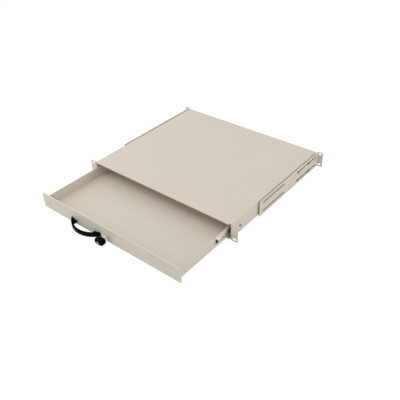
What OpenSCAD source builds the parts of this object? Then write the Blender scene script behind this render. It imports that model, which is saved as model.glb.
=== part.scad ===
// Rack keyboard drawer, one unit high, drawn with the drawer part way out.
// All sizes are in millimetres. Heights are counted from the underside of the case and depths from
// the front face of its ears; in_frame() then puts the origin at the centre of the front ear slots.
// +X is to the right seen from the front, +Y is to the rear and +Z is up.

/* [Rack] */
// Width of the unit from ear tip to ear tip
rack_w = 482.6; // [474:0.1:490]
// Height of the unit
unit_h = 43.7; // [42:0.1:48]
// Distance between the slots of the left and the right ear
slot_pitch_x = 465.1; // [462:0.1:468]
// Distance between the upper and the lower slot of an ear
slot_pitch_z = 31.75; // [28:0.01:34]
// Length of a front ear slot, end to end
front_slot_l = 11; // [8:0.1:12]
// Length of a rear ear slot, end to end
rear_slot_l = 10; // [8:0.1:11]
// Height of the ear slots
ear_slot_h = 6.6; // [5:0.1:7]
// Corner radius of the ears
ear_corner = 1; // [0.5:0.1:3]

/* [Case] */
// Width of the case over its side walls
case_w = 446; // [438:0.5:450]
// Depth of the case
case_l = 395; // [380:1:480]
// Sheet thickness of the case
case_t = 1.5; // [1:0.1:1.8]
// Inside radius of the bends along the side walls
case_bend = 1.5; // [1:0.1:3]
// Inside radius of the bends of the ears
ear_bend = 1; // [0.5:0.1:2]
// Width of the flanges under the side walls
flange_w = 20; // [6:0.5:30]
// Width of the lip over the mouth
lip_w = 434; // [380:1:436]
// Height of the lip, measured from the top of the cover
lip_drop = 3.4; // [2.8:0.1:6]
// Inside radius of the bend of the lip
lip_bend = 0.5; // [0.3:0.1:0.9]

/* [Drawer] */
// Distance that the drawer stands out of the case
drawer_out = 172.5; // [0:0.5:245]
// Length of the tray
tray_l = 383; // [360:1:384]
// Height of the tray's side walls and front wall
tray_h = 30; // [27:0.5:34]
// Height of the tray's rear wall
tray_rear_h = 20; // [14:0.5:27]
// Sheet thickness of the tray
tray_t = 1.2; // [0.8:0.1:1.6]
// Inside radius of the tray's bends
tray_bend = 1.5; // [1:0.1:3]
// Width of the cable notch in the rear wall
notch_w = 60; // [20:1:120]
// Depth of the cable notch
notch_h = 16; // [8:0.5:16]
// Corner radius of the cable notch
notch_r = 3; // [1:0.5:4]
// Width of the front panel
panel_w = 445; // [440:0.5:450]
// Thickness of the front panel
panel_t = 3; // [2:0.1:4]
// Radius of the panel's long front edges
panel_edge = 1.2; // [0.5:0.1:1.8]
// Bevel of the panel's lower corners
panel_bevel = 1.5; // [0.5:0.1:3]
// Distance between the two screws of the panel
panel_screw_pitch = 407; // [380:1:412]
// Height of the panel's screws above the underside
panel_screw_z = 22.5; // [16:0.5:28]

/* [Slides] */
// Thickness of a slide, from the case wall to the tray wall
slide_w = 8.4; // [8:0.1:10]
// Height of the slides' centre line above the underside
slide_z = 22; // [20:0.1:23]
// Sheet thickness of the rails
rail_t = 1.1; // [0.9:0.05:1.2]
// Height of the fixed rail
fixed_h = 24; // [22:0.1:26]
// Length of the fixed rail
fixed_l = 385; // [370:1:386]
// Distance of the fixed rail from the front face of the ears
fixed_y = 6; // [4:0.5:8]
// Distance of the fixed rails' screws below the slides' centre line
fixed_screw_drop = 2; // [0:0.1:4]
// Length of the running rail
running_l = 250; // [240:1:254]
// Distance of the running rail's front end from the panel's back
running_y = 128; // [124:1:130]
// Depth of the running rail, from the tray wall outwards
running_w = 3.8; // [3.6:0.1:4]
// Height of the band pressed out of the running rail's web
rib_h = 8; // [7.6:0.1:10]
// Distance by which that band stands out of the web
rib_rise = 1.2; // [0.8:0.1:1.4]
// Diameter of the balls
ball_d = 3.2; // [3:0.1:3.3]
// Depth of the races in the rails
race_depth = 0.6; // [0.3:0.05:0.8]
// Thickness of the ball cage
cage_t = 0.6; // [0.4:0.05:0.7]
// Length of the ball cage
cage_l = 115; // [80:1:117]
// Distance of the ball cage from the front face of the ears
cage_y = 48; // [46:0.5:50]
// Distance between neighbouring balls of a row
ball_pitch = 11.5; // [8:0.5:20]
// Length of the end stop in the running rail
stop_l = 5; // [3:0.5:10]

/* [Rear brackets] */
// Sheet thickness of the brackets
bracket_t = 2; // [1.5:0.1:2.5]
// Distance of a bracket's front end from the front face of the case's ears
bracket_y = 111.5; // [100:0.5:120]
// Distance by which the bracket ears lie behind the case
rear_overhang = 6.5; // [2:0.1:20]
// Space left above and below a bracket inside the unit's height
bracket_margin = 0.5; // [0:0.1:2]
// Inside radius of the bracket's bend
bracket_bend = 1; // [0.5:0.1:2]
// Height of the stand-offs between case and bracket
standoff_h = 3; // [2.8:0.1:4]
// Diameter of the stand-offs
standoff_d = 8; // [6.5:0.1:9]
// Length of an adjusting slot, end to end
adjust_slot_l = 100; // [70:1:104]
// Height of the adjusting slots
adjust_slot_h = 4.8; // [4.5:0.1:5.4]
// Distance between the upper and the lower row of adjusting slots
adjust_row_pitch = 24.6; // [22:0.1:26]
// Distance of the front adjusting slots from the bracket's front end
adjust_front_inset = 12.5; // [8:0.5:16]
// Distance of the rear adjusting slots from the bracket's rear face
adjust_rear_inset = 14; // [9:0.1:16]
// Distance of the front bracket screws from the rear edge of the case
bracket_screw_y = 104; // [72:0.5:105.5]
// Distance between the front and the rear bracket screws
bracket_screw_pitch = 57; // [30:1:60]

/* [Handle] */
// Place of the handle's middle, counted from the middle of the panel
handle_x = -68; // [-90:0.5:-66]
// Height of the handle's centre line above the underside
handle_z = 11.6; // [9:0.1:24]
// Distance between the middles of the handle's legs
handle_w = 95.8; // [86:0.1:98]
// Distance from the panel to the top of the bow's middle line
handle_rise = 23.5; // [21:0.1:26]
// Thickness of the grip
grip_t = 4.6; // [3:0.1:5]
// Height of the grip
grip_h = 12.2; // [9:0.1:14]
// Length of a foot on the panel
foot_l = 20.5; // [18:0.5:24]
// Height of a foot's gusset along the leg
foot_h = 13.5; // [10:0.5:15]
// Height of the pointed end of a foot
foot_tip_h = 2.5; // [2:0.5:8]
// Distance between the handle's two screws
handle_screw_pitch = 80; // [78:0.5:82]
// Depth of the screw holes in the feet
foot_hole_l = 5; // [3:0.1:5.4]

/* [Latch] */
// Place of the latch, counted from the middle of the panel
latch_x = 2; // [0:0.5:40]
// Height of the latch above the underside
latch_z = 15.5; // [14:0.5:22]
// Diameter of the latch's shaft
shaft_d = 8; // [6:0.1:9]
// Clearance of the shaft in its bush, on the radius
shaft_gap = 0.05; // [0.01:0.01:0.1]
// Diameter of the bush in the panel
bush_d = 12; // [11:0.1:13]
// Diameter of the bush's collar
collar_d = 16; // [13.2:0.1:18]
// Height of the bush's collar in front of the panel
collar_h = 5; // [2:0.1:7]
// Width across the flats of the bush's nut
bush_nut_w = 17; // [14:0.5:20]
// Thickness of the bush's nut
bush_nut_h = 2; // [1.5:0.1:2.2]
// Length of the oblong knob
knob_w = 27; // [23:0.5:30]
// Width of the knob across its length
knob_d = 17; // [16:0.5:22]
// Thickness of the knob
knob_h = 16.5; // [12:0.5:18]
// Rounding of the knob's edges
knob_round = 5.8; // [3:0.1:8]
// Distance from the panel to the middle of the knob's thickness
knob_y = 19.4; // [19:0.1:26]
// Thickness of the cam
cam_t = 2; // [1.5:0.1:2.4]
// Width of the cam's tongue
cam_w = 10; // [7:0.5:12]
// Diameter of the cam round its shaft
cam_d = 16; // [13:0.5:18]
// Diameter of the shaft's stud that carries the cam
stud_d = 6; // [4.5:0.1:6.2]
// Width across the flats of the cam's nut
cam_nut_w = 10; // [9:0.5:12]
// Thickness of the cam's nut
cam_nut_h = 4; // [2:0.1:5]

/* [Fasteners] */
// Shank of the large screws
m4_d = 4; // [3:0.1:4.2]
// Head diameter of the screws that hold the rails and the handle
m4_head_d = 7.5; // [6.5:0.1:8]
// Head height of the screws that hold the fixed rails and the handle
m4_head_h = 2.4; // [1.6:0.1:2.6]
// Head height of the low screws in the running rails
low_head_h = 1.6; // [1:0.1:2.4]
// Head diameter of the bracket screws
bracket_head_d = 6.5; // [6:0.1:8]
// Head height of the bracket screws
bracket_head_h = 2; // [1.4:0.1:3]
// Shank of the small screws
m3_d = 3; // [2.5:0.1:3.2]
// Head diameter of the small screws
m3_head_d = 5.5; // [5:0.1:6]
// Head height of the small screws
m3_head_h = 1.8; // [1.2:0.1:2.4]
// Width across the flats of the panel nuts
m3_nut_w = 5.5; // [5:0.1:7]
// Thickness of the panel nuts
m3_nut_h = 2.4; // [1.8:0.1:3]
// Head diameter of the knob's screw
knob_head_d = 4.5; // [4:0.1:5]
// Depth of the cross recesses, as a share of the head height
recess_share = 0.5; // [0.3:0.05:0.7]

/* [Clearances] */
// Clearance between the closed panel and the ears
panel_gap = 0.5; // [0.2:0.1:2]
// Space between the panel's lower edge and the underside
panel_low_gap = 1.2; // [0.5:0.1:2]
// Space between the panel's upper edge and the top of the cover
panel_top_gap = 2.5; // [1:0.1:3]
// Clearance between the tray's floor and the level of the bottom flanges
floor_gap = 0.3; // [0.1:0.1:1]
// Clearance between balls and races
race_gap = 0.25; // [0.1:0.05:0.3]
// Clearance of the balls in their cage, on the radius
cage_hole_gap = 0.1; // [0.05:0.01:0.15]
// Clearance between the cage and the fixed rail's web
cage_gap = 0.3; // [0.2:0.05:0.4]
// Clearance between the edges of the fixed rail or the cage and the next sheet
side_gap = 0.6; // [0.4:0.05:0.7]
// Clearance of screws in their holes, on the radius
hole_gap = 0.05; // [0.02:0.01:0.1]
// Clearance between the latched cam and the cover
cam_gap = 0.5; // [0.3:0.1:0.9]

/* [Hidden] */

$fn = 48;
paint = "#d6ccbf";
zinc = "#a9a69e";
dark_steel = "#55504a";
black_plastic = "#17130f";
black_rubber = "#211e1b";

// Overrun of every cut past the face that it opens
over = case_t / 2;

case_in = case_w / 2 - case_t;
case_bend_out = case_bend + case_t;
ear_bend_out = ear_bend + case_t;
tray_half = case_in - slide_w;
tray_z = case_t + floor_gap;
tray_bend_out = tray_bend + tray_t;
panel_h = unit_h - panel_low_gap - panel_top_gap;

// Depths of the drawer's pieces as it stands
panel_back = -panel_gap - drawer_out;
panel_front = panel_back - panel_t;
tray_front_in = panel_back + tray_t;
running_front = panel_back + running_y;

// The slide's section, counted from the case wall inwards and from the slide's centre line
race_r = ball_d / 2 + race_gap;
ball_z = fixed_h / 2 - rail_t - race_r;
fixed_reach = slide_w - rail_t - side_gap;
cage_in = rail_t + cage_gap;
running_reach = slide_w - running_w;
ball_x = (fixed_reach + running_reach) / 2;
running_h = 2 * (ball_z - race_r + race_depth);
rail_lip = rail_t + race_depth;
band_reach = rail_t + rib_rise;
balls_in_row = floor((cage_l - 2 * ball_d) / ball_pitch) + 1;
ball_row_l = (balls_in_row - 1) * ball_pitch;

// Depths of the screws that hold the fixed and the running rails
rail_screws = 3;
fixed_screw_inset = 30.4;
running_screw_inset = 20;
fixed_screw_pitch = (fixed_l - 2 * fixed_screw_inset) / (rail_screws - 1);
running_screw_pitch = (running_l - 2 * running_screw_inset) / (rail_screws - 1);

bracket_in = case_w / 2 + standoff_h;
bracket_out = bracket_in + bracket_t;
bracket_rear = case_l + rear_overhang;
bracket_h = unit_h - 2 * bracket_margin;
adjust_rear_y = bracket_rear - adjust_rear_inset - adjust_slot_l;
adjust_front_y = bracket_y + adjust_front_inset;
adjust_rows = [-adjust_row_pitch / 2, adjust_row_pitch / 2];
ear_rows = [-slot_pitch_z / 2, slot_pitch_z / 2];

// The bow of the handle is one arc whose ends lean inwards from the panel
leg_x = handle_w / 2;
bow_r = (pow(leg_x, 2) + pow(handle_rise, 2)) / (2 * handle_rise);
bow_centre = handle_rise - bow_r;

shaft_tip = knob_h / 2;
cam_front = tray_front_in + bush_nut_h;
cam_reach = unit_h - case_t - cam_gap - latch_z;
knob_back = panel_front - knob_y + knob_h / 2;
knob_front = knob_back - knob_h;

// Puts the origin at the middle of the four front ear slots
module in_frame() {
    translate([0, 0, -unit_h / 2]) children();
}

module both_sides() {
    children();
    mirror([1, 0, 0]) children();
}

// Extrudes an outline drawn in X and Z along Y
module along_y(start, length) {
    translate([0, start + length, 0]) rotate([90, 0, 0]) linear_extrude(length) children();
}

// Extrudes an outline drawn in Y and Z along X
module along_x(start, length) {
    translate([start, 0, 0]) rotate([90, 0, 90]) linear_extrude(length) children();
}

// A rectangle with round corners that stands on the middle of its lower edge
module round_rect(w, h, r) {
    translate([r - w / 2, 0]) square([w - 2 * r, h]);
    translate([-w / 2, r]) square([w, h - 2 * r]);
    for (x = [r - w / 2, w / 2 - r], y = [r, h - r]) translate([x, y]) circle(r);
}

// An oblong slot, centred, that runs along the first axis
module slot_outline(l, h) {
    square([l - h, h], center = true);
    for (s = [-1, 1]) translate([s * (l - h) / 2, 0]) circle(d = h);
}

// A quarter of a bend round the origin, in the quadrant below both axes
module bend_outline(r, t) {
    intersection() {
        difference() {
            circle(r + t);
            circle(r);
        }
        translate([-r - t, -r - t]) square(r + t);
    }
}

// A pan head screw that points down from its seat at the origin, with a cross recess
module pan_screw(shank_d, shank_l, head_d, head_h) {
    edge_drop = head_h / 2;
    dome_r = (pow(head_d / 2, 2) + pow(edge_drop, 2)) / (2 * edge_drop);
    recess_l = shank_d;
    recess_w = shank_d / 5;
    recess_h = head_h * recess_share;
    translate([0, 0, -shank_l]) cylinder(d = shank_d, h = shank_l);
    difference() {
        intersection() {
            cylinder(d = head_d, h = head_h);
            translate([0, 0, head_h - dome_r]) sphere(dome_r, $fn = 96);
        }
        for (a = [0, 90]) rotate(a)
            translate([-recess_l / 2, -recess_w / 2, head_h - recess_h])
                cube([recess_l, recess_w, 2 * recess_h]);
    }
}

// A six-sided nut on the origin, with its bore
module hex_nut(w, h, bore_d) {
    difference() {
        cylinder(d = w / cos(30), h = h, $fn = 6);
        translate([0, 0, -over]) cylinder(d = bore_d, h = h + 2 * over);
    }
}

module case_section() {
    difference() {
        round_rect(case_w, unit_h, case_bend_out);
        translate([0, case_t]) round_rect(case_w - 2 * case_t, unit_h - 2 * case_t, case_bend);
        translate([flange_w - case_w / 2, -over]) square([case_w - 2 * flange_w, case_t + 2 * over]);
    }
}

// The cover's front edge turned down over the mouth, drawn in Y and Z
module lip_section() {
    lip_bend_out = lip_bend + case_t;
    translate([lip_bend_out, unit_h - lip_bend_out]) mirror([0, 1]) bend_outline(lip_bend, case_t);
    translate([0, unit_h - lip_drop]) square([case_t, lip_drop - lip_bend_out]);
    translate([lip_bend_out, unit_h - case_t]) square([ear_bend_out, case_t]);
}

// The front end of the right flange, which reaches the front face of the ears
module flange_end() {
    translate([case_w / 2 - flange_w, 0, 0])
        cube([flange_w - case_bend_out, ear_bend_out + over, case_t]);
}

// The right ear with its bend; short reliefs part the bend from the case's own long bends
module case_ear() {
    ear_root = case_w / 2 + ear_bend;
    ear_w = rack_w / 2 - ear_root;
    translate([0, 0, case_bend_out]) linear_extrude(unit_h - 2 * case_bend_out)
        translate([ear_root, ear_bend_out]) bend_outline(ear_bend, case_t);
    along_y(0, case_t) difference() {
        translate([ear_root + ear_w / 2, 0]) round_rect(ear_w, unit_h, ear_corner);
        for (z = ear_rows) translate([slot_pitch_x / 2, unit_h / 2 + z])
            slot_outline(front_slot_l, ear_slot_h);
    }
}

// Children are placed at the screws of the right fixed rail, on the case's outer face
module at_fixed_rail_screws() {
    first = fixed_y + fixed_screw_inset;
    for (i = [0 : rail_screws - 1])
        translate([case_w / 2, first + i * fixed_screw_pitch, slide_z - fixed_screw_drop])
            rotate([0, 90, 0]) children();
}

// Children are placed at the screws of the right bracket, on the case's outer face
module at_bracket_screws() {
    for (y = [0, bracket_screw_pitch], z = adjust_rows)
        translate([case_w / 2, case_l - bracket_screw_y + y, unit_h / 2 + z]) rotate([0, 90, 0]) children();
}

module case_shell() {
    wall_hole_l = case_t + 2 * over;
    color(paint) difference() {
        union() {
            along_y(ear_bend_out, case_l - ear_bend_out) case_section();
            along_x(-lip_w / 2, lip_w) lip_section();
            both_sides() {
                case_ear();
                flange_end();
            }
        }
        both_sides() {
            at_fixed_rail_screws() translate([0, 0, -case_t - over])
                cylinder(d = m4_d + 2 * hole_gap, h = wall_hole_l);
            at_bracket_screws() translate([0, 0, -case_t - over])
                cylinder(d = m4_d + 2 * hole_gap, h = wall_hole_l);
        }
    }
}

// A block with round lower edges on all four sides
module tray_block(half_w, start, length, low, height, r) {
    intersection() {
        along_y(start, length) translate([0, low]) round_rect(2 * half_w, height + r, r);
        along_x(-half_w, 2 * half_w) translate([start + length / 2, low])
            round_rect(length, height + r, r);
        translate([-half_w, start, low]) cube([2 * half_w, length, height]);
    }
}

// Children are placed at the screws of the right running rail, on its pressed band
module at_running_rail_screws() {
    first = running_front + running_screw_inset;
    for (i = [0 : rail_screws - 1])
        translate([tray_half + band_reach, first + i * running_screw_pitch, slide_z])
            rotate([0, 90, 0]) children();
}

// Children are placed at the panel's screws, on the panel's front face, and point forwards
module at_panel_screws() {
    for (s = [-1, 1]) translate([s * panel_screw_pitch / 2, panel_front, panel_screw_z])
        rotate([90, 0, 0]) children();
}

// Children are placed at the handle's screws, on the inside of the tray's front wall, and point back
module at_handle_screws() {
    for (s = [-1, 1]) translate([handle_x + s * handle_screw_pitch / 2, tray_front_in, handle_z])
        rotate([-90, 0, 0]) children();
}

// Children are placed on the latch's axis at a depth, and point forwards
module at_latch(depth) {
    translate([latch_x, depth, latch_z]) rotate([90, 0, 0]) children();
}

// The bores that the panel and the tray's front wall share
module front_bores() {
    length = panel_t + tray_t + 2 * over;
    at_panel_screws() translate([0, 0, over - length]) cylinder(d = m3_d + 2 * hole_gap, h = length);
    at_handle_screws() translate([0, 0, over - length]) cylinder(d = m4_d + 2 * hole_gap, h = length);
    at_latch(panel_front - over) translate([0, 0, -length]) cylinder(d = bush_d + 2 * hole_gap, h = length);
}

module cable_notch() {
    rear_top = tray_z + tray_rear_h;
    along_y(panel_back + tray_l - tray_bend_out, tray_bend_out + over)
        translate([0, rear_top - notch_h]) round_rect(notch_w, 2 * notch_h, notch_r);
}

module drawer_tray() {
    inner_half = tray_half - tray_t;
    rear_cut = tray_h - tray_rear_h;
    color(paint) difference() {
        tray_block(tray_half, panel_back, tray_l, tray_z, tray_h, tray_bend_out);
        tray_block(inner_half, tray_front_in, tray_l - 2 * tray_t, tray_z + tray_t, tray_h, tray_bend);
        translate([-inner_half, panel_back + tray_l - tray_bend_out, tray_z + tray_rear_h])
            cube([2 * inner_half, tray_bend_out + over, rear_cut + over]);
        cable_notch();
        front_bores();
        both_sides() at_running_rail_screws() translate([0, 0, -band_reach - tray_t - over])
            cylinder(d = m4_d + 2 * hole_gap, h = band_reach + tray_t + 2 * over);
    }
}

// The panel's section, drawn in Y and Z, with its long front edges round
module panel_section() {
    translate([panel_front + panel_edge, 0]) square([panel_t - panel_edge, panel_h]);
    translate([panel_front, panel_edge]) square([panel_t, panel_h - 2 * panel_edge]);
    for (z = [panel_edge, panel_h - panel_edge]) translate([panel_front + panel_edge, z]) circle(panel_edge);
}

module front_panel() {
    bevel_cut = panel_bevel * sqrt(2);
    color(paint) difference() {
        translate([0, 0, panel_low_gap]) along_x(-panel_w / 2, panel_w) panel_section();
        both_sides() translate([panel_w / 2, panel_front - over, panel_low_gap]) rotate([0, 45, 0])
            translate([-bevel_cut / 2, 0, -bevel_cut / 2]) cube([bevel_cut, panel_t + 2 * over, bevel_cut]);
        front_bores();
    }
}

module panel_screws() {
    shank = panel_t + tray_t + m3_nut_h;
    color(zinc) at_panel_screws() pan_screw(m3_d, shank, m3_head_d, m3_head_h);
}

module panel_nuts() {
    color(zinc) at_panel_screws() translate([0, 0, -panel_t - tray_t - m3_nut_h])
        hex_nut(m3_nut_w, m3_nut_h, m3_d + 2 * hole_gap);
}

// Extrudes a slide section that is drawn from the case wall inwards
module along_slide(start, length) {
    along_y(start, length) translate([case_in, slide_z]) mirror([1, 0]) children();
}

module race_cuts() {
    for (s = [-1, 1]) translate([ball_x, s * ball_z]) circle(race_r);
}

module fixed_rail() {
    color(zinc) difference() {
        along_slide(fixed_y, fixed_l) difference() {
            union() {
                translate([0, -fixed_h / 2]) square([rail_t, fixed_h]);
                translate([0, fixed_h / 2 - rail_lip]) square([fixed_reach, rail_lip]);
                translate([0, -fixed_h / 2]) square([fixed_reach, rail_lip]);
            }
            race_cuts();
        }
        at_fixed_rail_screws() translate([0, 0, -case_t - rail_t - over])
            cylinder(d = m4_d + 2 * hole_gap, h = case_t + rail_t + 2 * over);
    }
}

// The running rail's web is pressed out to a flat band that carries the screws
module running_rail() {
    band_y = running_front + stop_l + rail_t;
    band_l = running_l - 2 * (stop_l + rail_t);
    hollow_h = rib_h - 2 * rail_t;
    color(zinc) difference() {
        union() {
            along_slide(running_front, running_l) difference() {
                union() {
                    translate([slide_w - rail_t, -running_h / 2]) square([rail_t, running_h]);
                    translate([running_reach, running_h / 2 - rail_lip]) square([running_w, rail_lip]);
                    translate([running_reach, -running_h / 2]) square([running_w, rail_lip]);
                }
                race_cuts();
            }
            along_slide(band_y, band_l) translate([slide_w - band_reach, -rib_h / 2])
                square([band_reach, rib_h]);
        }
        along_slide(band_y + rail_t, band_l - 2 * rail_t) translate([slide_w - rib_rise, -hollow_h / 2])
            square([rib_rise + over, hollow_h]);
        at_running_rail_screws() translate([0, 0, -band_reach - over])
            cylinder(d = m4_d + 2 * hole_gap, h = band_reach + 2 * over);
    }
}

// Children are placed at every ball of the right slide
module at_balls() {
    first = cage_y + (cage_l - ball_row_l) / 2;
    for (i = [0 : balls_in_row - 1], s = [-1, 1])
        translate([case_in - ball_x, first + i * ball_pitch, slide_z + s * ball_z]) children();
}

module ball_cage() {
    cage_half = ball_z + cage_t / 2;
    cage_edge = slide_w - side_gap - cage_in;
    color(zinc) difference() {
        along_slide(cage_y, cage_l) {
            translate([cage_in, -cage_half]) square([cage_t, 2 * cage_half]);
            for (z = [-cage_half, cage_half - cage_t]) translate([cage_in, z]) square([cage_edge, cage_t]);
        }
        at_balls() cylinder(d = ball_d + 2 * cage_hole_gap, h = ball_d, center = true);
    }
}

module slide_balls() {
    color(zinc) at_balls() sphere(d = ball_d);
}

module fixed_rail_screws() {
    color(dark_steel) both_sides() at_fixed_rail_screws()
        pan_screw(m4_d, case_t + rail_t, m4_head_d, m4_head_h);
}

module running_rail_screws() {
    color(zinc) both_sides() at_running_rail_screws()
        pan_screw(m4_d, band_reach + tray_t, m4_head_d, low_head_h);
}

// Rubber stops in the lower half of the running rails' front ends
module rail_end_stops() {
    stop_h = running_h / 2 - rail_lip;
    stop_w = slide_w - rail_t - running_reach;
    color(black_rubber) both_sides() along_slide(running_front, stop_l)
        translate([running_reach, -stop_h]) square([stop_w, stop_h]);
}

module rear_bracket() {
    ear_front = bracket_rear - bracket_t;
    ear_root = bracket_out + bracket_bend;
    plate_l = ear_front - bracket_bend - bracket_y;
    ear_w = rack_w / 2 - ear_root;
    color(paint) union() {
        difference() {
            translate([bracket_in, bracket_y, bracket_margin]) cube([bracket_t, plate_l, bracket_h]);
            for (y = [adjust_front_y, adjust_rear_y], z = adjust_rows)
                along_x(bracket_in - over, bracket_t + 2 * over)
                    translate([y + adjust_slot_l / 2, unit_h / 2 + z])
                        slot_outline(adjust_slot_l, adjust_slot_h);
        }
        translate([0, 0, bracket_margin]) linear_extrude(bracket_h)
            translate([ear_root, ear_front - bracket_bend]) mirror([0, 1])
                bend_outline(bracket_bend, bracket_t);
        difference() {
            translate([ear_root, ear_front, bracket_margin]) cube([ear_w, bracket_t, bracket_h]);
            along_y(ear_front - over, bracket_t + 2 * over)
                for (z = ear_rows) translate([slot_pitch_x / 2, unit_h / 2 + z])
                    slot_outline(rear_slot_l, ear_slot_h);
        }
    }
}

module bracket_standoffs() {
    color(zinc) both_sides() at_bracket_screws() difference() {
        cylinder(d = standoff_d, h = standoff_h);
        translate([0, 0, -over]) cylinder(d = m4_d + 2 * hole_gap, h = standoff_h + 2 * over);
    }
}

module bracket_screws() {
    grip = case_t + standoff_h + bracket_t;
    color(dark_steel) both_sides() at_bracket_screws() translate([0, 0, standoff_h + bracket_t])
        pan_screw(m4_d, grip, bracket_head_d, bracket_head_h);
}

// The area under the bow, grown by a margin, drawn across and away from the panel
module bow_area(margin) {
    side = bow_r + margin;
    intersection() {
        translate([0, bow_centre]) circle(side, $fn = 180);
        translate([-side, 0]) square(2 * side);
    }
}

// A foot with its gusset, drawn across and away from the panel, for the right leg
module foot_outline() {
    gusset_x = sqrt(pow(bow_r, 2) - pow(foot_h - bow_centre, 2));
    polygon([[leg_x + grip_t / 2 - foot_l, 0], [leg_x, 0], [gusset_x, foot_h]]);
}

// A foot narrows from the grip's height to its blunt end, drawn across and up
module foot_taper() {
    outer = leg_x + grip_t / 2;
    top = [[outer, grip_h / 2], [outer - foot_l, foot_tip_h / 2]];
    polygon([top[0], top[1], [top[1][0], -top[1][1]], [top[0][0], -top[0][1]]]);
}

// The bow lies flat, with its legs on the panel and the grip towards -Y
module pull_handle() {
    color(black_plastic) translate([handle_x, panel_front, handle_z]) difference() {
        union() {
            translate([0, 0, -grip_h / 2]) linear_extrude(grip_h) mirror([0, 1]) difference() {
                bow_area(grip_t / 2);
                bow_area(-grip_t / 2);
            }
            both_sides() intersection() {
                translate([0, 0, -grip_h / 2]) linear_extrude(grip_h) mirror([0, 1]) foot_outline();
                along_y(-foot_h, foot_h) foot_taper();
            }
        }
        for (s = [-1, 1]) translate([s * handle_screw_pitch / 2, over, 0]) rotate([90, 0, 0])
            cylinder(d = m4_d + 2 * hole_gap, h = foot_hole_l + over);
    }
}

module handle_screws() {
    shank = tray_t + panel_t + foot_hole_l - hole_gap;
    color(zinc) at_handle_screws() pan_screw(m4_d, shank, m4_head_d, m4_head_h);
}

module latch_bush() {
    barrel_l = panel_t + tray_t + bush_nut_h;
    bore_d = shaft_d + 2 * shaft_gap;
    color(zinc) at_latch(panel_front) difference() {
        union() {
            translate([0, 0, -barrel_l]) cylinder(d = bush_d, h = barrel_l);
            cylinder(d = collar_d, h = collar_h);
        }
        translate([0, 0, -barrel_l - over]) cylinder(d = bore_d, h = barrel_l + collar_h + 2 * over);
    }
}

module latch_bush_nut() {
    color(zinc) at_latch(cam_front) hex_nut(bush_nut_w, bush_nut_h, bush_d + 2 * hole_gap);
}

// The shaft runs from the cam to the middle of the knob, and its stud carries the cam and its nut
module latch_shaft() {
    thread_d = m3_d + 2 * hole_gap;
    shaft_front = knob_back - shaft_tip;
    shaft_l = cam_front - shaft_front;
    stud_l = cam_t + cam_nut_h;
    color(zinc) difference() {
        union() {
            at_latch(cam_front) cylinder(d = shaft_d, h = shaft_l);
            at_latch(cam_front + stud_l) cylinder(d = stud_d, h = stud_l + shaft_d / 2);
        }
        at_latch(shaft_front + shaft_tip) cylinder(d = thread_d, h = shaft_tip + over);
    }
}

// The knob is oblong, with round edges along it and round its ends
module knob_body() {
    intersection() {
        linear_extrude(knob_h) slot_outline(knob_w, knob_d);
        along_x(-knob_w / 2, knob_w) round_rect(knob_d, knob_h, knob_round);
        along_y(-knob_d / 2, knob_d) round_rect(knob_w, knob_h, knob_round);
    }
}

module latch_knob() {
    recess_d = knob_head_d + 2 * shaft_gap;
    color(black_plastic) difference() {
        at_latch(knob_back) knob_body();
        at_latch(knob_back + over) cylinder(d = shaft_d + 2 * hole_gap, h = shaft_tip + over);
        at_latch(knob_back) cylinder(d = m3_d + 2 * hole_gap, h = knob_h + over);
        at_latch(knob_front + m3_head_h / 2) cylinder(d = recess_d, h = m3_head_h / 2 + over);
    }
}

module latch_knob_screw() {
    shank = knob_h - m3_head_h / 2;
    color(zinc) at_latch(knob_front + m3_head_h / 2) pan_screw(m3_d, shank, knob_head_d, m3_head_h);
}

// The cam lies to the right, off the lip; a quarter turn brings its tongue up behind the lip
module latch_cam() {
    color(zinc) at_latch(cam_front + cam_t) linear_extrude(cam_t) difference() {
        union() {
            circle(d = cam_d);
            translate([0, -cam_w / 2]) square([cam_reach, cam_w]);
        }
        circle(d = stud_d + 2 * hole_gap);
    }
}

module latch_cam_nut() {
    color(zinc) at_latch(cam_front + cam_t + cam_nut_h) hex_nut(cam_nut_w, cam_nut_h, stud_d + 2 * hole_gap);
}

in_frame() case_shell();
in_frame() drawer_tray();
in_frame() front_panel();
in_frame() panel_screws();
in_frame() panel_nuts();
in_frame() mirror([1, 0, 0]) fixed_rail();  // fixed_rail_left
in_frame() fixed_rail();  // fixed_rail_right
in_frame() fixed_rail_screws();
in_frame() mirror([1, 0, 0]) running_rail();  // running_rail_left
in_frame() running_rail();  // running_rail_right
in_frame() running_rail_screws();
in_frame() rail_end_stops();
in_frame() mirror([1, 0, 0]) ball_cage();  // ball_cage_left
in_frame() ball_cage();  // ball_cage_right
in_frame() mirror([1, 0, 0]) slide_balls();  // slide_balls_left
in_frame() slide_balls();  // slide_balls_right
in_frame() mirror([1, 0, 0]) rear_bracket();  // rear_bracket_left
in_frame() rear_bracket();  // rear_bracket_right
in_frame() bracket_standoffs();
in_frame() bracket_screws();
in_frame() pull_handle();
in_frame() handle_screws();
in_frame() latch_bush();
in_frame() latch_bush_nut();
in_frame() latch_shaft();
in_frame() latch_knob();
in_frame() latch_knob_screw();
in_frame() latch_cam();
in_frame() latch_cam_nut();
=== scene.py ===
"""Dresses a one-unit rack keyboard drawer: powder-coated sheet, plated slides and screws, the moulded
pull handle and latch knob, and the white studio that it is shown in."""

import math

import bmesh
import bpy
from bpy.props import FloatProperty, FloatVectorProperty, IntProperty, PointerProperty
from mathutils import Matrix, Vector


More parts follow.
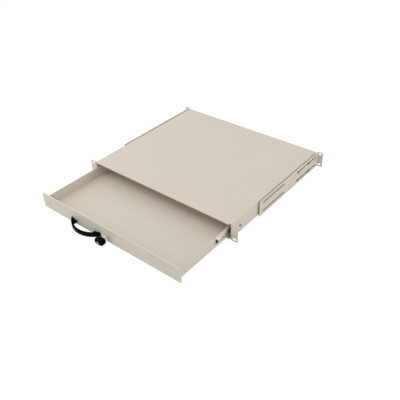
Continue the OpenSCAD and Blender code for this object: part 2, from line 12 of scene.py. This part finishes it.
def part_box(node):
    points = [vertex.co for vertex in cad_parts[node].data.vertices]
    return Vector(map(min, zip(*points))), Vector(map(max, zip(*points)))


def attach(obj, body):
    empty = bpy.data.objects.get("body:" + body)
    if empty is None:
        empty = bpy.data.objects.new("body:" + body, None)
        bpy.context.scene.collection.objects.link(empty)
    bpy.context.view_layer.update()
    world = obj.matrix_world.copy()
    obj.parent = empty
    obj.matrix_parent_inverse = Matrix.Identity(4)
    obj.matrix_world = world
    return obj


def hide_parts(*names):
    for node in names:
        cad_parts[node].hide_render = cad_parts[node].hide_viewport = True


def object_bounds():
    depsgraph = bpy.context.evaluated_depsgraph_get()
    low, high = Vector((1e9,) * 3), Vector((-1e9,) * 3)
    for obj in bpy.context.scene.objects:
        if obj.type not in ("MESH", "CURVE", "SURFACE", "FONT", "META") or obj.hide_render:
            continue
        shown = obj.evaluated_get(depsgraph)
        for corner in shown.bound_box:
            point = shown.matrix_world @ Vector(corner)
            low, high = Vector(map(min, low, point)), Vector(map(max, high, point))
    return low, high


bl_info = {
    "name": "Rack Keyboard Drawer Finishes",
    "version": (1, 0, 0),
    "blender": (4, 5, 0),
    "location": "View3D > Sidebar > Drawer",
    "description": "Gives the drawer's sheet, slides, handle and latch their real finishes",
    "category": "Object",
}

MM = 0.001
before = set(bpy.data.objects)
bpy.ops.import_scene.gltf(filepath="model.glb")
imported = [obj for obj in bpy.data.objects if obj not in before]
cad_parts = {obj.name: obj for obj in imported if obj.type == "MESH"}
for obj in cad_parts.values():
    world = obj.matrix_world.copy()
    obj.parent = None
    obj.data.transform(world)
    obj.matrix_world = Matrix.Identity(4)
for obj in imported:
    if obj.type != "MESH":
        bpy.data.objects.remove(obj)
CAD_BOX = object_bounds()

SHEET_NODES = ("case_shell", "drawer_tray", "front_panel", "rear_bracket_left", "rear_bracket_right")
RAIL_NODES = (
    "fixed_rail_left", "fixed_rail_right", "running_rail_left", "running_rail_right",
    "ball_cage_left", "ball_cage_right", "latch_cam",
)
TURNED_NODES = (
    "running_rail_screws", "bracket_standoffs", "panel_screws", "panel_nuts", "handle_screws",
    "latch_bush", "latch_bush_nut", "latch_shaft", "latch_knob_screw", "latch_cam_nut",
)
BRACKET_SCREW_NODES = ("bracket_screws",)
SIDE_SCREW_NODES = ("fixed_rail_screws",)
BALL_NODES = ("slide_balls_left", "slide_balls_right")
RUBBER_NODES = ("rail_end_stops",)
WHITE = (1, 1, 1, 1)


def linear(code):
    """Turns an sRGB hex value such as #dbd1c5 into linear red, green, blue and alpha."""
    shares = [int(code[i:i + 2], 16) / 255 for i in (1, 3, 5)]
    low, slope, lift, power = 0.04045, 12.92, 0.055, 2.4
    flat = [c / slope if c <= low else ((c + lift) / (1 + lift)) ** power for c in shares]
    return (*flat, 1.0)


def feed(tree, socket, value):
    """Gives a socket its value, or links it to the output that feeds it."""
    if isinstance(value, bpy.types.NodeSocket):
        tree.links.new(value, socket)
    else:
        socket.default_value = value


def add(tree, kind, inputs=None, **settings):
    """Adds a node; inputs gives each named socket its value or the output that feeds it."""
    node = tree.nodes.new(kind)
    for name, value in settings.items():
        setattr(node, name, value)
    for name, value in (inputs or {}).items():
        feed(tree, node.inputs[name], value)
    return node


def emptied_tree(owner):
    """Gives a material or a world an empty node tree."""
    owner.use_nodes = True
    owner.node_tree.nodes.clear()
    return owner.node_tree


def start_material(name):
    """Makes an empty material with its surface shader and returns all three parts of it."""
    material = bpy.data.materials.new(name)
    tree = emptied_tree(material)
    shader = add(tree, "ShaderNodeBsdfPrincipled")
    add(tree, "ShaderNodeOutputMaterial", {"Surface": shader.outputs["BSDF"]})
    return material, tree, shader


def mixed_tone(tree, share, first, second):
    """Blends two colours by a share; each is a colour value or the output that gives it."""
    node = add(tree, "ShaderNodeMix", data_type="RGBA")
    # The sockets for colours share their names with those for numbers, so they are taken by their order
    share_in, first_in, second_in, result = node.inputs[0], node.inputs[6], node.inputs[7], node.outputs[2]
    feed(tree, share_in, share)
    feed(tree, first_in, first)
    feed(tree, second_in, second)
    return result


def speckled(tree, shader, width, detail, tones, gloss):
    """Lets one noise drive a finish's tone and roughness, and returns the noise's output."""
    place = add(tree, "ShaderNodeTexCoord").outputs["Object"]
    noise = add(tree, "ShaderNodeTexNoise", {"Vector": place, "Scale": 1 / width, "Detail": detail})
    share = noise.outputs["Fac"]
    first, second = (linear(code) for code in tones)
    feed(tree, shader.inputs["Base Color"], mixed_tone(tree, share, first, second))
    smoothest, roughest = gloss
    spread = add(tree, "ShaderNodeMapRange", {"Value": share, "To Min": smoothest, "To Max": roughest})
    feed(tree, shader.inputs["Roughness"], spread.outputs["Result"])
    return share


def powder_coat(sizes):
    """Polyester powder coat, sprayed and baked: a satin skin with a faint orange peel."""
    material, tree, shader = start_material("powder_coat_beige")
    shader.inputs["Roughness"].default_value = sizes.paint_roughness
    shader.inputs["IOR"].default_value = 1.5
    shader.inputs["Specular IOR Level"].default_value = 0.35
    place = add(tree, "ShaderNodeTexCoord").outputs["Object"]
    # The coat's thickness drifts over a hand's width, which shifts its tone a little
    drift = add(tree, "ShaderNodeTexNoise", {"Vector": place, "Scale": 1 / sizes.paint_drift, "Detail": 2.0})
    tone = mixed_tone(tree, drift.outputs["Fac"], sizes.paint_shade, sizes.paint_color)
    # A painted highlight lightens the sharp edges, in place of light caught on their rounding. It is laid
    # where the rounded surface and the flat one turn away from each other, and the cosine between them falls
    # from 1
    round_edge = add(tree, "ShaderNodeBevel", {"Radius": sizes.paint_edge}, samples=4)
    flat = add(tree, "ShaderNodeNewGeometry").outputs["Normal"]
    turn = add(tree, "ShaderNodeVectorMath", {0: round_edge.outputs["Normal"], 1: flat},
               operation="DOT_PRODUCT")
    edge_highlight_share = add(tree, "ShaderNodeMapRange", {"Value": turn.outputs["Value"], "From Min": 0.98, "From Max": 0.8})
    edge_highlighted_tone = mixed_tone(tree, edge_highlight_share.outputs["Result"], tone, sizes.paint_edge_highlight)
    tree.links.new(edge_highlighted_tone, shader.inputs["Base Color"])
    peel = add(tree, "ShaderNodeTexNoise", {"Vector": place, "Scale": 1 / sizes.peel_width, "Detail": 1.0})
    bump = add(tree, "ShaderNodeBump", {"Height": peel.outputs["Fac"], "Strength": 0.12,
                                        "Distance": sizes.peel_height,
                                        "Normal": round_edge.outputs["Normal"]})
    tree.links.new(bump.outputs["Normal"], shader.inputs["Normal"])
    return material


def rolled_zinc(sizes):
    """Cold-rolled steel strip, bright zinc plated: streaks along the rolling direction, a dull mirror."""
    material, tree, shader = start_material("zinc_plated_strip")
    shader.inputs["Metallic"].default_value = 1.0
    place = add(tree, "ShaderNodeTexCoord").outputs["Object"]
    along = add(tree, "ShaderNodeMapping", {"Vector": place, "Scale": (
        1 / sizes.streak_width, 1 / sizes.streak_length, 1 / sizes.streak_width)})
    streak = add(tree, "ShaderNodeTexNoise", {"Vector": along.outputs["Vector"], "Scale": 1.0, "Detail": 3.0})
    tone = mixed_tone(tree, streak.outputs["Fac"], linear("#d2cfc6"), linear("#efede6"))
    tree.links.new(tone, shader.inputs["Base Color"])
    gloss = add(tree, "ShaderNodeMapRange", {"Value": streak.outputs["Fac"], "To Min": 0.28, "To Max": 0.46})
    tree.links.new(gloss.outputs["Result"], shader.inputs["Roughness"])
    bump = add(tree, "ShaderNodeBump", {"Height": streak.outputs["Fac"], "Strength": 0.15,
                                        "Distance": sizes.streak_depth})
    tree.links.new(bump.outputs["Normal"], shader.inputs["Normal"])
    return material


def turned_zinc(sizes):
    """Machined steel, bright zinc plated: even, with a fine crystalline mottle from the plating bath."""
    material, tree, shader = start_material("zinc_plated_fastener")
    shader.inputs["Metallic"].default_value = 1.0
    speckled(tree, shader, sizes.mottle_width, 2.0, ("#c9c6bd", "#ebe9e1"), (0.25, 0.4))
    return material


def passivated_steel(sizes, name, thin, thick):
    """Steel screws under a passivated plate: low sheen, and a tone that drifts from thin to thick plate."""
    material, tree, shader = start_material(name)
    shader.inputs["Metallic"].default_value = 0.7
    speckled(tree, shader, sizes.mottle_width, 3.0, (thin, thick), (0.4, 0.55))
    return material


def ball_steel(sizes):
    """Hardened bearing steel, ground and lapped: a clean mirror under a film of grease."""
    material, tree, shader = start_material("lapped_bearing_steel")
    shader.inputs["Metallic"].default_value = 1.0
    shader.inputs["Base Color"].default_value = linear("#dadad8")
    place = add(tree, "ShaderNodeTexCoord").outputs["Object"]
    film = add(tree, "ShaderNodeTexNoise", {"Vector": place, "Scale": 1 / sizes.mottle_width, "Detail": 1.0})
    gloss = add(tree, "ShaderNodeMapRange", {"Value": film.outputs["Fac"], "To Min": 0.06, "To Max": 0.16})
    tree.links.new(gloss.outputs["Result"], shader.inputs["Roughness"])
    return material


def moulded_nylon(sizes):
    """Glass-filled nylon, injection moulded in black: a spark-eroded grain that shows next to no sheen."""
    material, tree, shader = start_material("moulded_nylon_black")
    shader.inputs["IOR"].default_value = 1.53
    # Set far below the real one, because the white surroundings would turn the black grey
    shader.inputs["Specular IOR Level"].default_value = 0.02
    grain = speckled(tree, shader, sizes.grain_width, 2.0, ("#030201", "#0a0705"), (0.34, 0.5))
    bump = add(tree, "ShaderNodeBump", {"Height": grain, "Strength": 0.2, "Distance": sizes.grain_height})
    tree.links.new(bump.outputs["Normal"], shader.inputs["Normal"])
    return material


def pressed_phenolic(sizes):
    """Phenolic resin, pressed in a polished mould: smooth and deep black, with faint flow marks."""
    material, tree, shader = start_material("pressed_phenolic_black")
    shader.inputs["IOR"].default_value = 1.6
    # Set far below the real one, as on the handle
    shader.inputs["Specular IOR Level"].default_value = 0.03
    speckled(tree, shader, sizes.flow_width, 1.0, ("#020101", "#070504"), (0.16, 0.24))
    return material


def stop_rubber(sizes):
    """Nitrile rubber, cut from moulded strip: dead matt, with a dusty surface."""
    material, tree, shader = start_material("nitrile_rubber_black")
    shader.inputs["IOR"].default_value = 1.52
    speckled(tree, shader, sizes.grain_width, 3.0, ("#15110e", "#2c2722"), (0.75, 0.9))
    return material


def finish_nodes(names, material):
    """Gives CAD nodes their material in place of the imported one."""
    for name in names:
        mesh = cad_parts[name].data
        mesh.materials.clear()
        mesh.materials.append(material)


def place_piece(name, mesh, body, material, stands_for):
    """Links a modelled piece, hides the CAD node that it stands for, and lets it ride on its body."""
    piece = bpy.data.objects.new(name, mesh)
    bpy.context.scene.collection.objects.link(piece)
    mesh.materials.append(material)
    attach(piece, body)
    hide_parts(stands_for)


def rounded_ring(half_u, half_v, power, count):
    """Points round a superellipse, which is a rectangle with soft corners for a power above 2."""
    ring = []
    for i in range(count):
        angle = 2 * math.pi * i / count
        cos_a, sin_a = math.cos(angle), math.sin(angle)
        u = math.copysign(abs(cos_a) ** (2 / power), cos_a) * half_u
        v = math.copysign(abs(sin_a) ** (2 / power), sin_a) * half_v
        ring.append((u, v))
    return ring


def bridge_rings(mesh, rings):
    """Joins rings of points into one closed tube with flat ends."""
    made = [[mesh.verts.new(p) for p in ring] for ring in rings]
    count = len(made[0])
    for near, far in zip(made, made[1:]):
        for i in range(count):
            j = (i + 1) % count
            mesh.faces.new((near[i], near[j], far[j], far[i]))
    mesh.faces.new(list(reversed(made[0])))
    mesh.faces.new(made[-1])


def settled_mesh(piece, name):
    """Returns the piece's mesh with its modifiers applied and drops the working object."""
    graph = bpy.context.evaluated_depsgraph_get()
    mesh = bpy.data.meshes.new_from_object(piece.evaluated_get(graph))
    mesh.name = name
    bpy.data.objects.remove(piece)
    return mesh


class DrawerFinishSettings(bpy.types.PropertyGroup):
    """Sizes and colours of the drawer's finishes."""

    paint_color: FloatVectorProperty(
        name="Paint", description="Colour of the powder coat where it is thick", subtype="COLOR",
        size=4, min=0, max=1, default=linear("#d9d1c3"))
    paint_shade: FloatVectorProperty(
        name="Paint Shade", description="Colour of the powder coat where it is thin", subtype="COLOR",
        size=4, min=0, max=1, default=linear("#d4ccbd"))
    # Painted highlight: the lighter tone laid over sharp edges in place of light caught on their rounding
    paint_edge_highlight: FloatVectorProperty(
        name="Paint Edge Highlight", description="Colour of the powder coat over sharp edges", subtype="COLOR",
        size=4, min=0, max=1, default=linear("#e4dcd0"))
    paint_roughness: FloatProperty(
        name="Paint Roughness", description="Roughness of the powder coat", default=0.42, min=0, max=1)
    paint_drift: FloatProperty(
        name="Paint Drift", description="Width over which the paint's tone drifts", default=90 * MM,
        unit="LENGTH")
    paint_edge: FloatProperty(
        name="Paint Edge", description="Radius to which the paint rounds a cut edge", default=0.5 * MM,
        unit="LENGTH")
    peel_width: FloatProperty(
        name="Peel Width", description="Width of one dimple of the orange peel", default=1.6 * MM,
        unit="LENGTH")
    peel_height: FloatProperty(
        name="Peel Height", description="Height of the orange peel", default=0.05 * MM, unit="LENGTH")
    streak_width: FloatProperty(
        name="Streak Width", description="Width of a rolling streak on the rails", default=0.7 * MM,
        unit="LENGTH")
    streak_length: FloatProperty(
        name="Streak Length", description="Length of a rolling streak on the rails", default=30 * MM,
        unit="LENGTH")
    streak_depth: FloatProperty(
        name="Streak Depth", description="Depth of a rolling streak on the rails", default=0.02 * MM,
        unit="LENGTH")
    # The plating's spots and the mouldings' grain are finer on the real pieces, and the orange peel
    # above is shallower; all three are drawn coarse enough to show
    mottle_width: FloatProperty(
        name="Mottle Width", description="Width of the spots in the plating", default=1.2 * MM,
        unit="LENGTH")
    grain_width: FloatProperty(
        name="Grain Width", description="Width of the grain on moulded parts", default=0.5 * MM,
        unit="LENGTH")
    grain_height: FloatProperty(
        name="Grain Height", description="Height of the grain on moulded parts", default=0.03 * MM,
        unit="LENGTH")
    flow_width: FloatProperty(
        name="Flow Width", description="Width of the flow marks in the knob", default=6 * MM,
        unit="LENGTH")


class DrawerHandleSettings(bpy.types.PropertyGroup):
    """Sizes of the pull handle that its CAD box doesn't give."""

    grip_thickness: FloatProperty(
        name="Grip Thickness", description="Thickness of the grip, across the bow", default=4.6 * MM,
        unit="LENGTH")
    foot_length: FloatProperty(
        name="Foot Length", description="Length of a foot along the panel", default=20.5 * MM,
        unit="LENGTH")
    foot_depth: FloatProperty(
        name="Foot Depth", description="Height of a foot's gusset along the leg", default=13.5 * MM,
        unit="LENGTH")
    foot_tip: FloatProperty(
        name="Foot Tip", description="Height of the blunt end of a foot", default=2.5 * MM, unit="LENGTH")
    section_power: FloatProperty(
        name="Section Power", description="Squareness of the grip's section; 2 is an ellipse",
        default=6, min=2, max=8)
    blend_size: FloatProperty(
        name="Blend Size", description="Grid at which grip and feet are blended into one moulding",
        default=0.35 * MM, unit="LENGTH")


class DrawerKnobSettings(bpy.types.PropertyGroup):
    """Sizes of the latch knob that its CAD box doesn't give."""

    front_round: FloatProperty(
        name="Front Rounding", description="Radius of the knob's front edges", default=5.8 * MM,
        unit="LENGTH")
    back_round: FloatProperty(
        name="Back Rounding", description="Radius of the knob's rear edges", default=5.5 * MM, unit="LENGTH")
    recess_radius: FloatProperty(
        name="Recess Radius", description="Radius of the recess for the knob's screw", default=2.35 * MM,
        unit="LENGTH")
    recess_depth: FloatProperty(
        name="Recess Depth", description="Depth of the recess for the knob's screw", default=0.9 * MM,
        unit="LENGTH")
    steps: IntProperty(name="Steps", description="Facets round the knob", default=96, min=12, max=256)


class DrawerStageSettings(bpy.types.PropertyGroup):
    """Camera and light of the studio."""

    camera_place: FloatVectorProperty(
        name="Camera Place", description="Place of the lens", subtype="XYZ", unit="LENGTH", size=3,
        default=(0.739888, -0.738181, 0.74791))
    azimuth: FloatProperty(
        name="Azimuth", description="Heading of the view, from straight in front towards the right",
        subtype="ANGLE", default=math.radians(39.328))
    elevation: FloatProperty(
        name="Elevation", description="Height of the view above the horizon", subtype="ANGLE",
        default=math.radians(36.090))
    roll: FloatProperty(
        name="Roll", description="Tilt of the picture", subtype="ANGLE", default=math.radians(-1.3811))
    lens: FloatProperty(
        name="Lens", description="Focal length in millimetres for a 36 mm sensor", default=46.464)
    sky: FloatProperty(name="Sky", description="Strength of the even light from all sides", default=0.67)
    front: FloatProperty(name="Front", description="Power of the lamp in front", unit="POWER", default=5.0)
    high: FloatProperty(name="High", description="Power of the lamp high up", unit="POWER", default=13.5)
    side: FloatProperty(name="Side", description="Power of the lamp on the right", unit="POWER", default=8.5)


class DRAWER_OT_coat_sheet(bpy.types.Operator):
    """Powder-coat the case, the tray, the front panel and the rear brackets"""

    bl_idname = "drawer.coat_sheet"
    bl_label = "Coat Sheet Parts"

    def execute(self, context):
        finish_nodes(SHEET_NODES, powder_coat(context.scene.drawer_finish))
        return {"FINISHED"}


class DRAWER_OT_plate_steel(bpy.types.Operator):
    """Finish the slides, their balls, the fasteners, the latch's metal pieces and the rubber stops"""

    bl_idname = "drawer.plate_steel"
    bl_label = "Plate Steel Parts"

    def execute(self, context):
        sizes = context.scene.drawer_finish
        for names, finish in (
            (RAIL_NODES, rolled_zinc(sizes)),
            (TURNED_NODES, turned_zinc(sizes)),
            (BRACKET_SCREW_NODES, passivated_steel(sizes, "dark_passivated_screw", "#4a453f", "#7a736a")),
            (SIDE_SCREW_NODES, passivated_steel(sizes, "grey_passivated_screw", "#7c756b", "#a59e93")),
            (BALL_NODES, ball_steel(sizes)),
            (RUBBER_NODES, stop_rubber(sizes)),
        ):
            finish_nodes(names, finish)
        return {"FINISHED"}


class DRAWER_OT_mould_handle(bpy.types.Operator):
    """Mould the bow handle: a swept grip blended into two pointed feet"""

    bl_idname = "drawer.mould_handle"
    bl_label = "Mould Handle"

    def execute(self, context):
        sizes = context.scene.drawer_handle
        low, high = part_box("pull_handle")
        middle = (low + high) / 2
        face = high.y
        half_height = (high.z - low.z) / 2
        half_width = (high.x - low.x) / 2
        depth = high.y - low.y
        # The bow's outer face is one arc through both its ends on the panel and its top; the radius
        # is that of the arc's middle line, and the centre lies behind the panel's face
        radius = (half_width ** 2 + depth ** 2) / (2 * depth) - sizes.grip_thickness / 2
        centre = depth - sizes.grip_thickness / 2 - radius
        mesh = bmesh.new()
        bridge_rings(mesh, grip_rings(sizes, middle, face, radius, centre, half_height))
        for side in (-1, 1):
            bridge_rings(mesh, foot_rings(sizes, middle, face, radius, centre, half_height, side))
        trim_at_panel(mesh, face)
        bmesh.ops.recalc_face_normals(mesh, faces=mesh.faces)
        shell = bpy.data.meshes.new("handle_blank")
        mesh.to_mesh(shell)
        mesh.free()
        blank = bpy.data.objects.new("handle_blank", shell)
        context.scene.collection.objects.link(blank)
        blend = blank.modifiers.new("Blend", "REMESH")
        blend.mode = "VOXEL"
        blend.voxel_size = sizes.blend_size
        blend.use_smooth_shade = True
        ease = blank.modifiers.new("Ease", "SMOOTH")
        ease.factor = 0.5
        ease.iterations = 2
        moulded = settled_mesh(blank, "pull_handle_moulding")
        # Blending leaves the seat wavy, so it is laid flat on the panel again
        seat = face - sizes.blend_size
        for vertex in moulded.vertices:
            if vertex.co.y > seat:
                vertex.co.y = face
        place_piece("pull_handle_moulding", moulded, "drawer",
                    moulded_nylon(context.scene.drawer_finish), "pull_handle")
        return {"FINISHED"}


def grip_rings(sizes, middle, face, radius, centre, half_height):
    """Sections of the grip along its bow, which is one arc that runs a little way into the panel."""
    facets = 40
    steps = 90
    section = rounded_ring(sizes.grip_thickness / 2, half_height, sizes.section_power, facets)
    start = math.asin(-centre / radius) - sizes.grip_thickness / radius
    rings = []
    for i in range(steps + 1):
        angle = start + (math.pi - 2 * start) * i / steps
        rings.append([
            Vector((middle.x + (radius + u) * math.cos(angle), face - centre - (radius + u) * math.sin(angle),
                    middle.z + v))
            for u, v in section
        ])
    return rings


def foot_rings(sizes, middle, face, radius, centre, half_height, side):
    """Sections of a foot, from its point on the panel up to the bow and down to the leg's root."""
    leg_x = math.sqrt(radius ** 2 - centre ** 2)
    top_x = math.sqrt(radius ** 2 - (sizes.foot_depth - centre) ** 2)
    outer = leg_x + sizes.grip_thickness / 2
    tip = outer - sizes.foot_length
    tip_half = sizes.foot_tip / 2
    facets = 32
    steps = 14
    least_share = 0.06
    squareness = 3.5
    stations = []
    for i in range(steps + 1):
        share = i / steps
        stations.append((tip + (top_x - tip) * share, sizes.foot_depth * max(share, least_share)))
    for share in (0.25, 0.5, 0.75, 1 - least_share):
        stations.append((top_x + (leg_x - top_x) * share, sizes.foot_depth * (1 - share)))
    rings = []
    for across, depth in stations:
        height = tip_half + (half_height - tip_half) * (across - tip) / (outer - tip)
        # The gusset grows from the foot's tapered outline on the panel to the grip's full height
        gain = (half_height / height - 1) * depth / sizes.foot_depth
        rings.append([
            Vector((middle.x + side * across, face - depth / 2 + u,
                    middle.z + v * (1 + gain * (0.5 - u / depth))))
            for u, v in rounded_ring(depth / 2, height, squareness, facets)
        ])
    return rings


def trim_at_panel(mesh, face):
    """Cuts off what lies behind the panel's front face and closes the cuts."""
    parts = mesh.verts[:] + mesh.edges[:] + mesh.faces[:]
    bmesh.ops.bisect_plane(mesh, geom=parts, plane_co=(0, face, 0), plane_no=(0, 1, 0), clear_outer=True)
    bmesh.ops.holes_fill(mesh, edges=[edge for edge in mesh.edges if edge.is_boundary])


class DRAWER_OT_press_knob(bpy.types.Operator):
    """Press the oblong latch knob with its round edges and the recess for its screw"""

    bl_idname = "drawer.press_knob"
    bl_label = "Press Knob"

    def execute(self, context):
        sizes = context.scene.drawer_knob
        crease = math.radians(30)
        low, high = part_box("latch_knob")
        mesh = bmesh.new()
        bridge_rings(mesh, knob_rings(sizes, low, high))
        bmesh.ops.recalc_face_normals(mesh, faces=mesh.faces)
        for face in mesh.faces:
            face.smooth = True
        for edge in mesh.edges:
            edge.smooth = edge.calc_face_angle() < crease
        pressed = bpy.data.meshes.new("latch_knob_pressing")
        mesh.to_mesh(pressed)
        mesh.free()
        place_piece("latch_knob_pressing", pressed, "latch",
                    pressed_phenolic(context.scene.drawer_finish), "latch_knob")
        return {"FINISHED"}


def knob_rings(sizes, low, high):
    """Outlines of the knob from its back to its front and down into the screw's recess."""
    middle = (low + high) / 2
    radius = (high.z - low.z) / 2
    run = (high.x - low.x) / 2 - radius
    length = high.y - low.y
    quarter = math.pi / 2
    back_steps = 8
    front_steps = 12
    # Each station is its distance from the back, half its straight run and the radius of its ends
    stations = []
    for i in range(back_steps + 1):
        turn = quarter * i / back_steps
        stations.append((sizes.back_round * (1 - math.cos(turn)), run,
                         radius - sizes.back_round * (1 - math.sin(turn))))
    for i in range(front_steps + 1):
        turn = quarter * i / front_steps
        stations.append((length - sizes.front_round * (1 - math.sin(turn)), run,
                         radius - sizes.front_round * (1 - math.cos(turn))))
    lead = sizes.recess_depth / 3
    stations.append((length, 0, sizes.recess_radius + lead))
    stations.append((length - lead, 0, sizes.recess_radius))
    stations.append((length - sizes.recess_depth, 0, sizes.recess_radius))
    rings = []
    for away, half_run, round_r in stations:
        ring = []
        for i in range(sizes.steps):
            turn = 2 * math.pi * (i + 0.5) / sizes.steps
            across = math.copysign(half_run, math.cos(turn)) + round_r * math.cos(turn)
            ring.append(Vector((middle.x + across, high.y - away, middle.z + round_r * math.sin(turn))))
        rings.append(ring)
    return rings


class DRAWER_OT_set_stage(bpy.types.Operator):
    """Set the camera, the lamps, the white surroundings and the floor"""

    bl_idname = "drawer.set_stage"
    bl_label = "Set Stage"

    def execute(self, context):
        sizes = context.scene.drawer_stage
        scene = context.scene
        scene.view_settings.view_transform = "Standard"
        set_camera(scene, sizes)
        set_sky(scene, sizes)
        set_floor(scene)
        set_lamp(scene, "front_lamp", (-0.98, -0.88, 0.8), sizes.front, 1.2)
        set_lamp(scene, "high_lamp", (-0.26, -0.63, 2.38), sizes.high, 1.5)
        set_lamp(scene, "side_lamp", (2.3, 0.5, 0.3), sizes.side, 0.5)
        return {"FINISHED"}


def set_lamp(scene, name, place, power, size):
    """Hangs a square lamp of the given side length, in metres, so that it faces the unit's middle."""
    target = Vector((0, 0.1, 0))
    lamp = bpy.data.lights.new(name, "AREA")
    lamp.energy = power
    lamp.size = size
    holder = bpy.data.objects.new(name, lamp)
    holder.location = place
    aim = target - Vector(place)
    holder.rotation_euler = aim.to_track_quat("-Z", "Y").to_euler()
    scene.collection.objects.link(holder)


def set_camera(scene, sizes):
    """Puts the camera where the photograph was taken from."""
    cam = bpy.data.cameras.new("camera")
    cam.sensor_fit = "HORIZONTAL"
    cam.sensor_width = 36
    cam.lens = sizes.lens
    cam.clip_start = 0.05
    cam.clip_end = 50
    holder = bpy.data.objects.new("camera", cam)
    back = Vector((
        math.sin(sizes.azimuth) * math.cos(sizes.elevation),
        -math.cos(sizes.azimuth) * math.cos(sizes.elevation),
        math.sin(sizes.elevation),
    ))
    right = Vector((0, 0, 1)).cross(back).normalized()
    up = back.cross(right)
    level = Matrix((right, up, back)).transposed()
    holder.matrix_world = (
        Matrix.Translation(sizes.camera_place) @ level.to_4x4() @ Matrix.Rotation(sizes.roll, 4, "Z")
    )
    scene.collection.objects.link(holder)
    scene.camera = holder


def seen_directly(tree):
    """An output that is 1 for camera, mirror and glass rays, and 0 for the light that falls on things."""
    path = add(tree, "ShaderNodeLightPath")
    first = add(tree, "ShaderNodeMath", {0: path.outputs["Is Camera Ray"], 1: path.outputs["Is Glossy Ray"]},
                operation="MAXIMUM")
    both = add(tree, "ShaderNodeMath", {0: first.outputs[0], 1: path.outputs["Is Transmission Ray"]},
               operation="MAXIMUM")
    return both.outputs[0]


def set_sky(scene, sizes):
    """White surroundings: full white where they are seen, and a softer even light on the object."""
    world = bpy.data.worlds.new("white_studio")
    tree = emptied_tree(world)
    light = add(tree, "ShaderNodeBackground", {"Color": WHITE, "Strength": sizes.sky})
    shown = add(tree, "ShaderNodeBackground", {"Color": WHITE, "Strength": 1.0})
    mix = add(tree, "ShaderNodeMixShader", {0: seen_directly(tree), 1: light.outputs[0], 2: shown.outputs[0]})
    add(tree, "ShaderNodeOutputWorld", {"Surface": mix.outputs[0]})
    scene.world = world


def set_floor(scene):
    """A pale floor under the unit that shows white but for the object's own faint shadow."""
    half = 6.0
    drop = 0.2 * MM
    lit_tone = (0.7, 0.7, 0.7, 1)
    shown_tone = (0.16, 0.16, 0.16, 1)
    material = bpy.data.materials.new("white_floor")
    tree = emptied_tree(material)
    matt = add(tree, "ShaderNodeBsdfDiffuse", {"Color": lit_tone})
    dim = add(tree, "ShaderNodeBsdfDiffuse", {"Color": shown_tone})
    glow = add(tree, "ShaderNodeEmission", {"Color": WHITE, "Strength": 0.9})
    shown = add(tree, "ShaderNodeAddShader", {0: dim.outputs[0], 1: glow.outputs[0]})
    mix = add(tree, "ShaderNodeMixShader", {0: seen_directly(tree), 1: matt.outputs[0], 2: shown.outputs[0]})
    add(tree, "ShaderNodeOutputMaterial", {"Surface": mix.outputs[0]})
    ground = CAD_BOX[0].z - drop
    mesh = bpy.data.meshes.new("floor")
    corners = [(-half, -half, ground), (half, -half, ground), (half, half, ground), (-half, half, ground)]
    mesh.from_pydata(corners, [], [(0, 1, 2, 3)])
    mesh.materials.append(material)
    floor = bpy.data.objects.new("floor", mesh)
    scene.collection.objects.link(floor)


class DRAWER_PT_finishes(bpy.types.Panel):
    """Lists the steps that dress the drawer"""

    bl_idname = "DRAWER_PT_finishes"
    bl_label = "Drawer Finishes"
    bl_space_type = "VIEW_3D"
    bl_region_type = "UI"
    bl_category = "Drawer"

    def draw(self, context):
        for step in STEPS:
            self.layout.operator(step.bl_idname)
        for group in (context.scene.drawer_finish, context.scene.drawer_handle,
                      context.scene.drawer_knob, context.scene.drawer_stage):
            for name in group.bl_rna.properties.keys():
                if name not in ("rna_type", "name"):
                    self.layout.prop(group, name)


STEPS = (
    DRAWER_OT_coat_sheet,
    DRAWER_OT_plate_steel,
    DRAWER_OT_mould_handle,
    DRAWER_OT_press_knob,
    DRAWER_OT_set_stage,
)
GROUPS = {
    "drawer_finish": DrawerFinishSettings,
    "drawer_handle": DrawerHandleSettings,
    "drawer_knob": DrawerKnobSettings,
    "drawer_stage": DrawerStageSettings,
}


def register():
    """Makes Blender know the classes and gives the scene their settings."""
    for kind in (*GROUPS.values(), *STEPS, DRAWER_PT_finishes):
        bpy.utils.register_class(kind)
    for name, kind in GROUPS.items():
        setattr(bpy.types.Scene, name, PointerProperty(type=kind))


def unregister():
    """Takes back what register() did."""
    for name in GROUPS:
        delattr(bpy.types.Scene, name)
    for kind in reversed((*GROUPS.values(), *STEPS, DRAWER_PT_finishes)):
        bpy.utils.unregister_class(kind)


def main():
    """Registers the classes and dresses the drawer step by step."""
    register()
    bpy.ops.drawer.coat_sheet()
    bpy.ops.drawer.plate_steel()
    bpy.ops.drawer.mould_handle()
    bpy.ops.drawer.press_knob()
    bpy.ops.drawer.set_stage()


if __name__ == "__main__":
    main()
